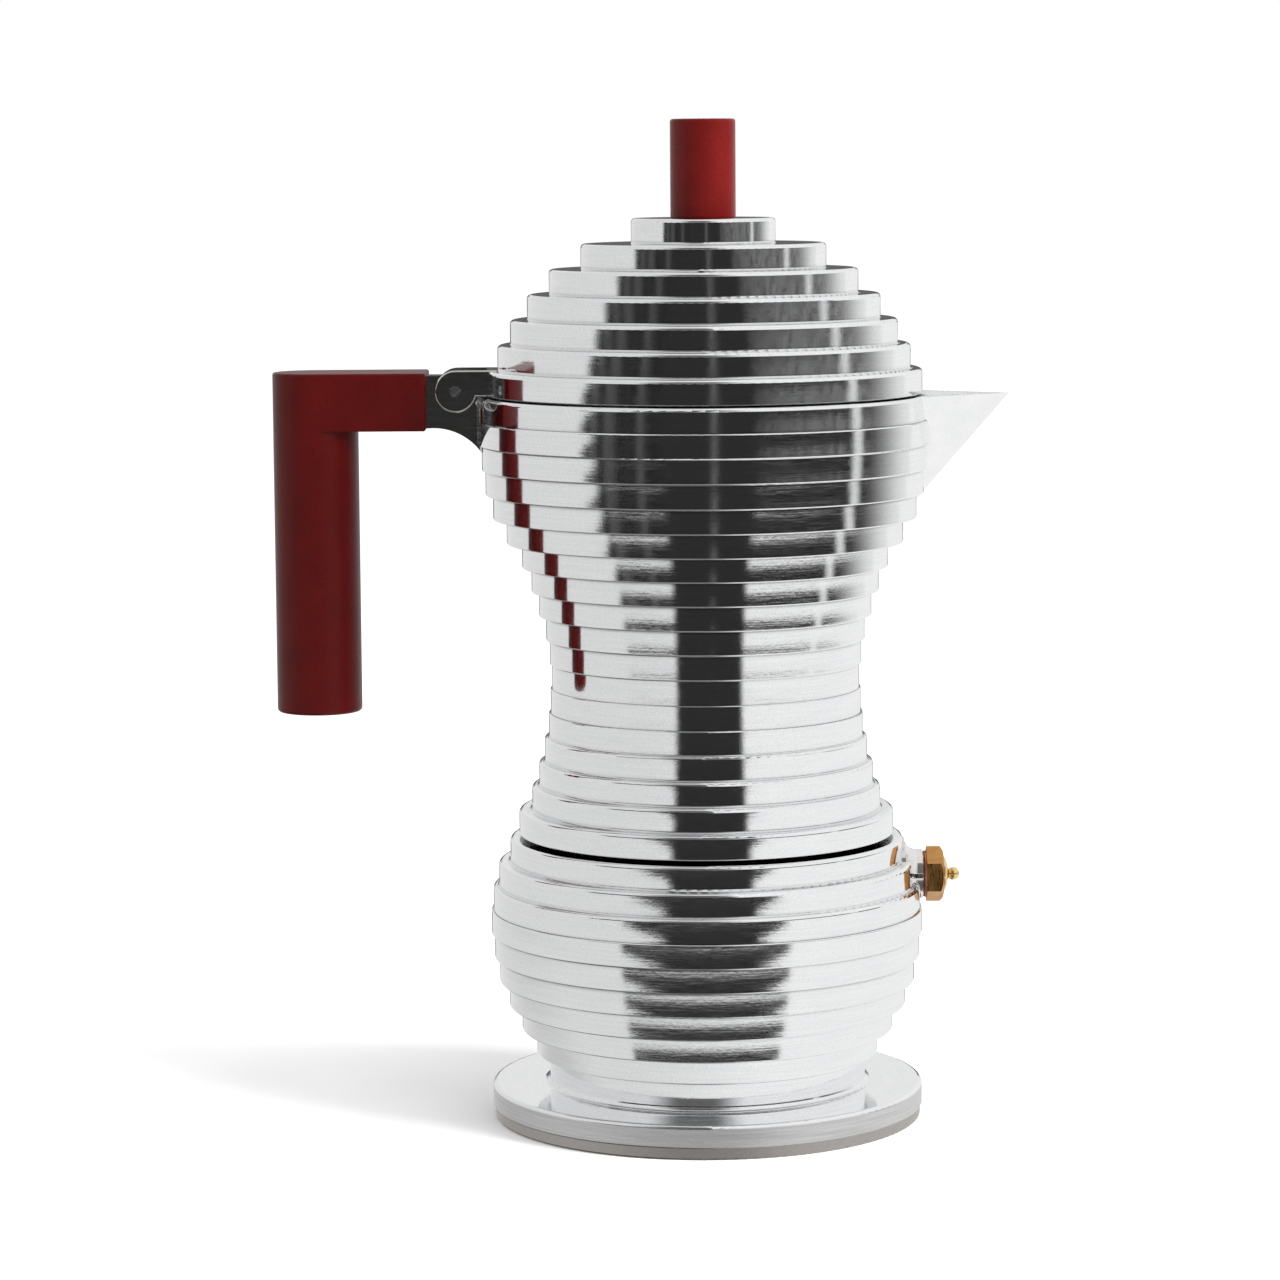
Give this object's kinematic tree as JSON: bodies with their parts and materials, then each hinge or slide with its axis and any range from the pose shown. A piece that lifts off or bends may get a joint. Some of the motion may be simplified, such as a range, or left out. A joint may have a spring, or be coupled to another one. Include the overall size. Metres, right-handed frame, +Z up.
{
  "type": "moka pot",
  "caption": "Stepped cast-aluminium stovetop coffee maker with a domed lid, pouring beak, right-angled handle, brass safety valve and a flat steel foot.",
  "frame": {"origin": "centre of the steel foot plate's underside, on the pot's axis", "axes": "+Z up along the pot's axis, +X towards the pouring beak and the safety valve, -X towards the handle"},
  "size_m": [0.1504, 0.092, 0.205],
  "materials": {
    "polished_aluminium": "polished",
    "spun_aluminium": "satin",
    "plate_steel": "brushed",
    "bright_steel": "bright",
    "valve_brass": "turned",
    "silicone": "matte",
    "fibre_washer": "matte",
    "red_polyamide": "fine matte",
    "knob_polyamide": "semi-matte"
  },
  "bodies": {
    "base": {"boiler": "polished_aluminium", "induction_plate": "plate_steel", "valve_body": "valve_brass", "valve_washer": "fibre_washer", "valve_cap": "valve_brass", "valve_spring": "bright_steel"},
    "valve_stem": {"valve_plunger": "valve_brass", "valve_seal": "silicone"},
    "funnel_group": {"funnel": "spun_aluminium", "funnel_screen": "spun_aluminium"},
    "seal_group": {"gasket": "silicone", "filter_plate": "spun_aluminium"},
    "upper": {"collector": "polished_aluminium", "handle": "red_polyamide", "handle_screw": "bright_steel"},
    "cover": {"lid": "polished_aluminium", "lid_knob": "knob_polyamide", "knob_screw": "bright_steel", "knob_washer": "bright_steel", "hinge_pin": "bright_steel"}
  },
  "joints": [
    {"name": "valve_pull", "type": "slide", "parent": "base", "child": "valve_stem", "axis": [1, 0, 0], "range_m": [0, 0.0015], "stiffness_N_per_m": 300, "springref_m": -0.001, "deforming": ["valve_spring"]},
    {"name": "funnel_lift", "type": "slide", "parent": "base", "child": "funnel_group", "axis": [0, 0, 1], "range_m": [0, 0.065]},
    {"name": "collector_rise", "type": "slide", "parent": "funnel_group", "child": "seal_group", "axis": [0, 0, 1], "range_m": [0, 0.0061]},
    {"name": "collector_turn", "type": "hinge", "parent": "seal_group", "child": "upper", "pos_m": [0, 0, 0.07], "axis": [0, 0, 1], "range_deg": [0, 720]},
    {"name": "lid_open", "type": "hinge", "parent": "upper", "child": "cover", "pos_m": [-0.0505, 0, 0.15035], "axis": [0, -1, 0], "range_deg": [0, 105]}
  ],
  "couplings": [
    {"joint": "collector_rise", "follows": "collector_turn", "m_per_rad": 0.00047746}
  ]
}
